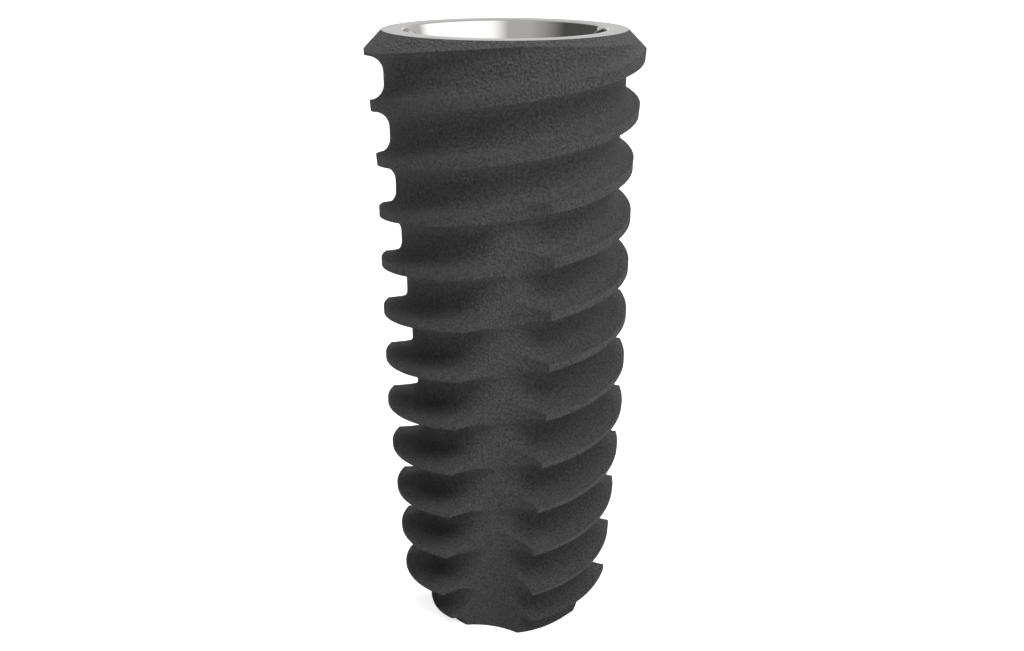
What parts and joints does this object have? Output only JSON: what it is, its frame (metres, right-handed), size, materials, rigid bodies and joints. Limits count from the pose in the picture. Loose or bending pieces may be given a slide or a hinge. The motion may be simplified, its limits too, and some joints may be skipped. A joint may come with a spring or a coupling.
{
  "type": "dental implant",
  "caption": "Tapered, fluted bone screw with a double-start thread, a bevelled collar and a coned socket with a hexagon and a screw hole.",
  "frame": {"origin": "centre of the platform, the flat ring on top, on the long axis", "axes": "+Z along the long axis, out of the mouth and away from the apex; -Y is the side that one cutting flute faces"},
  "size_m": [0.0042, 0.004, 0.0099],
  "materials": {
    "blasted_titanium": "dark anodised titanium, grit blasted outside, machined on the platform ring and polished in the seat cone"
  },
  "bodies": {
    "root": {"implant_body": "blasted_titanium"}
  },
  "joints": []
}
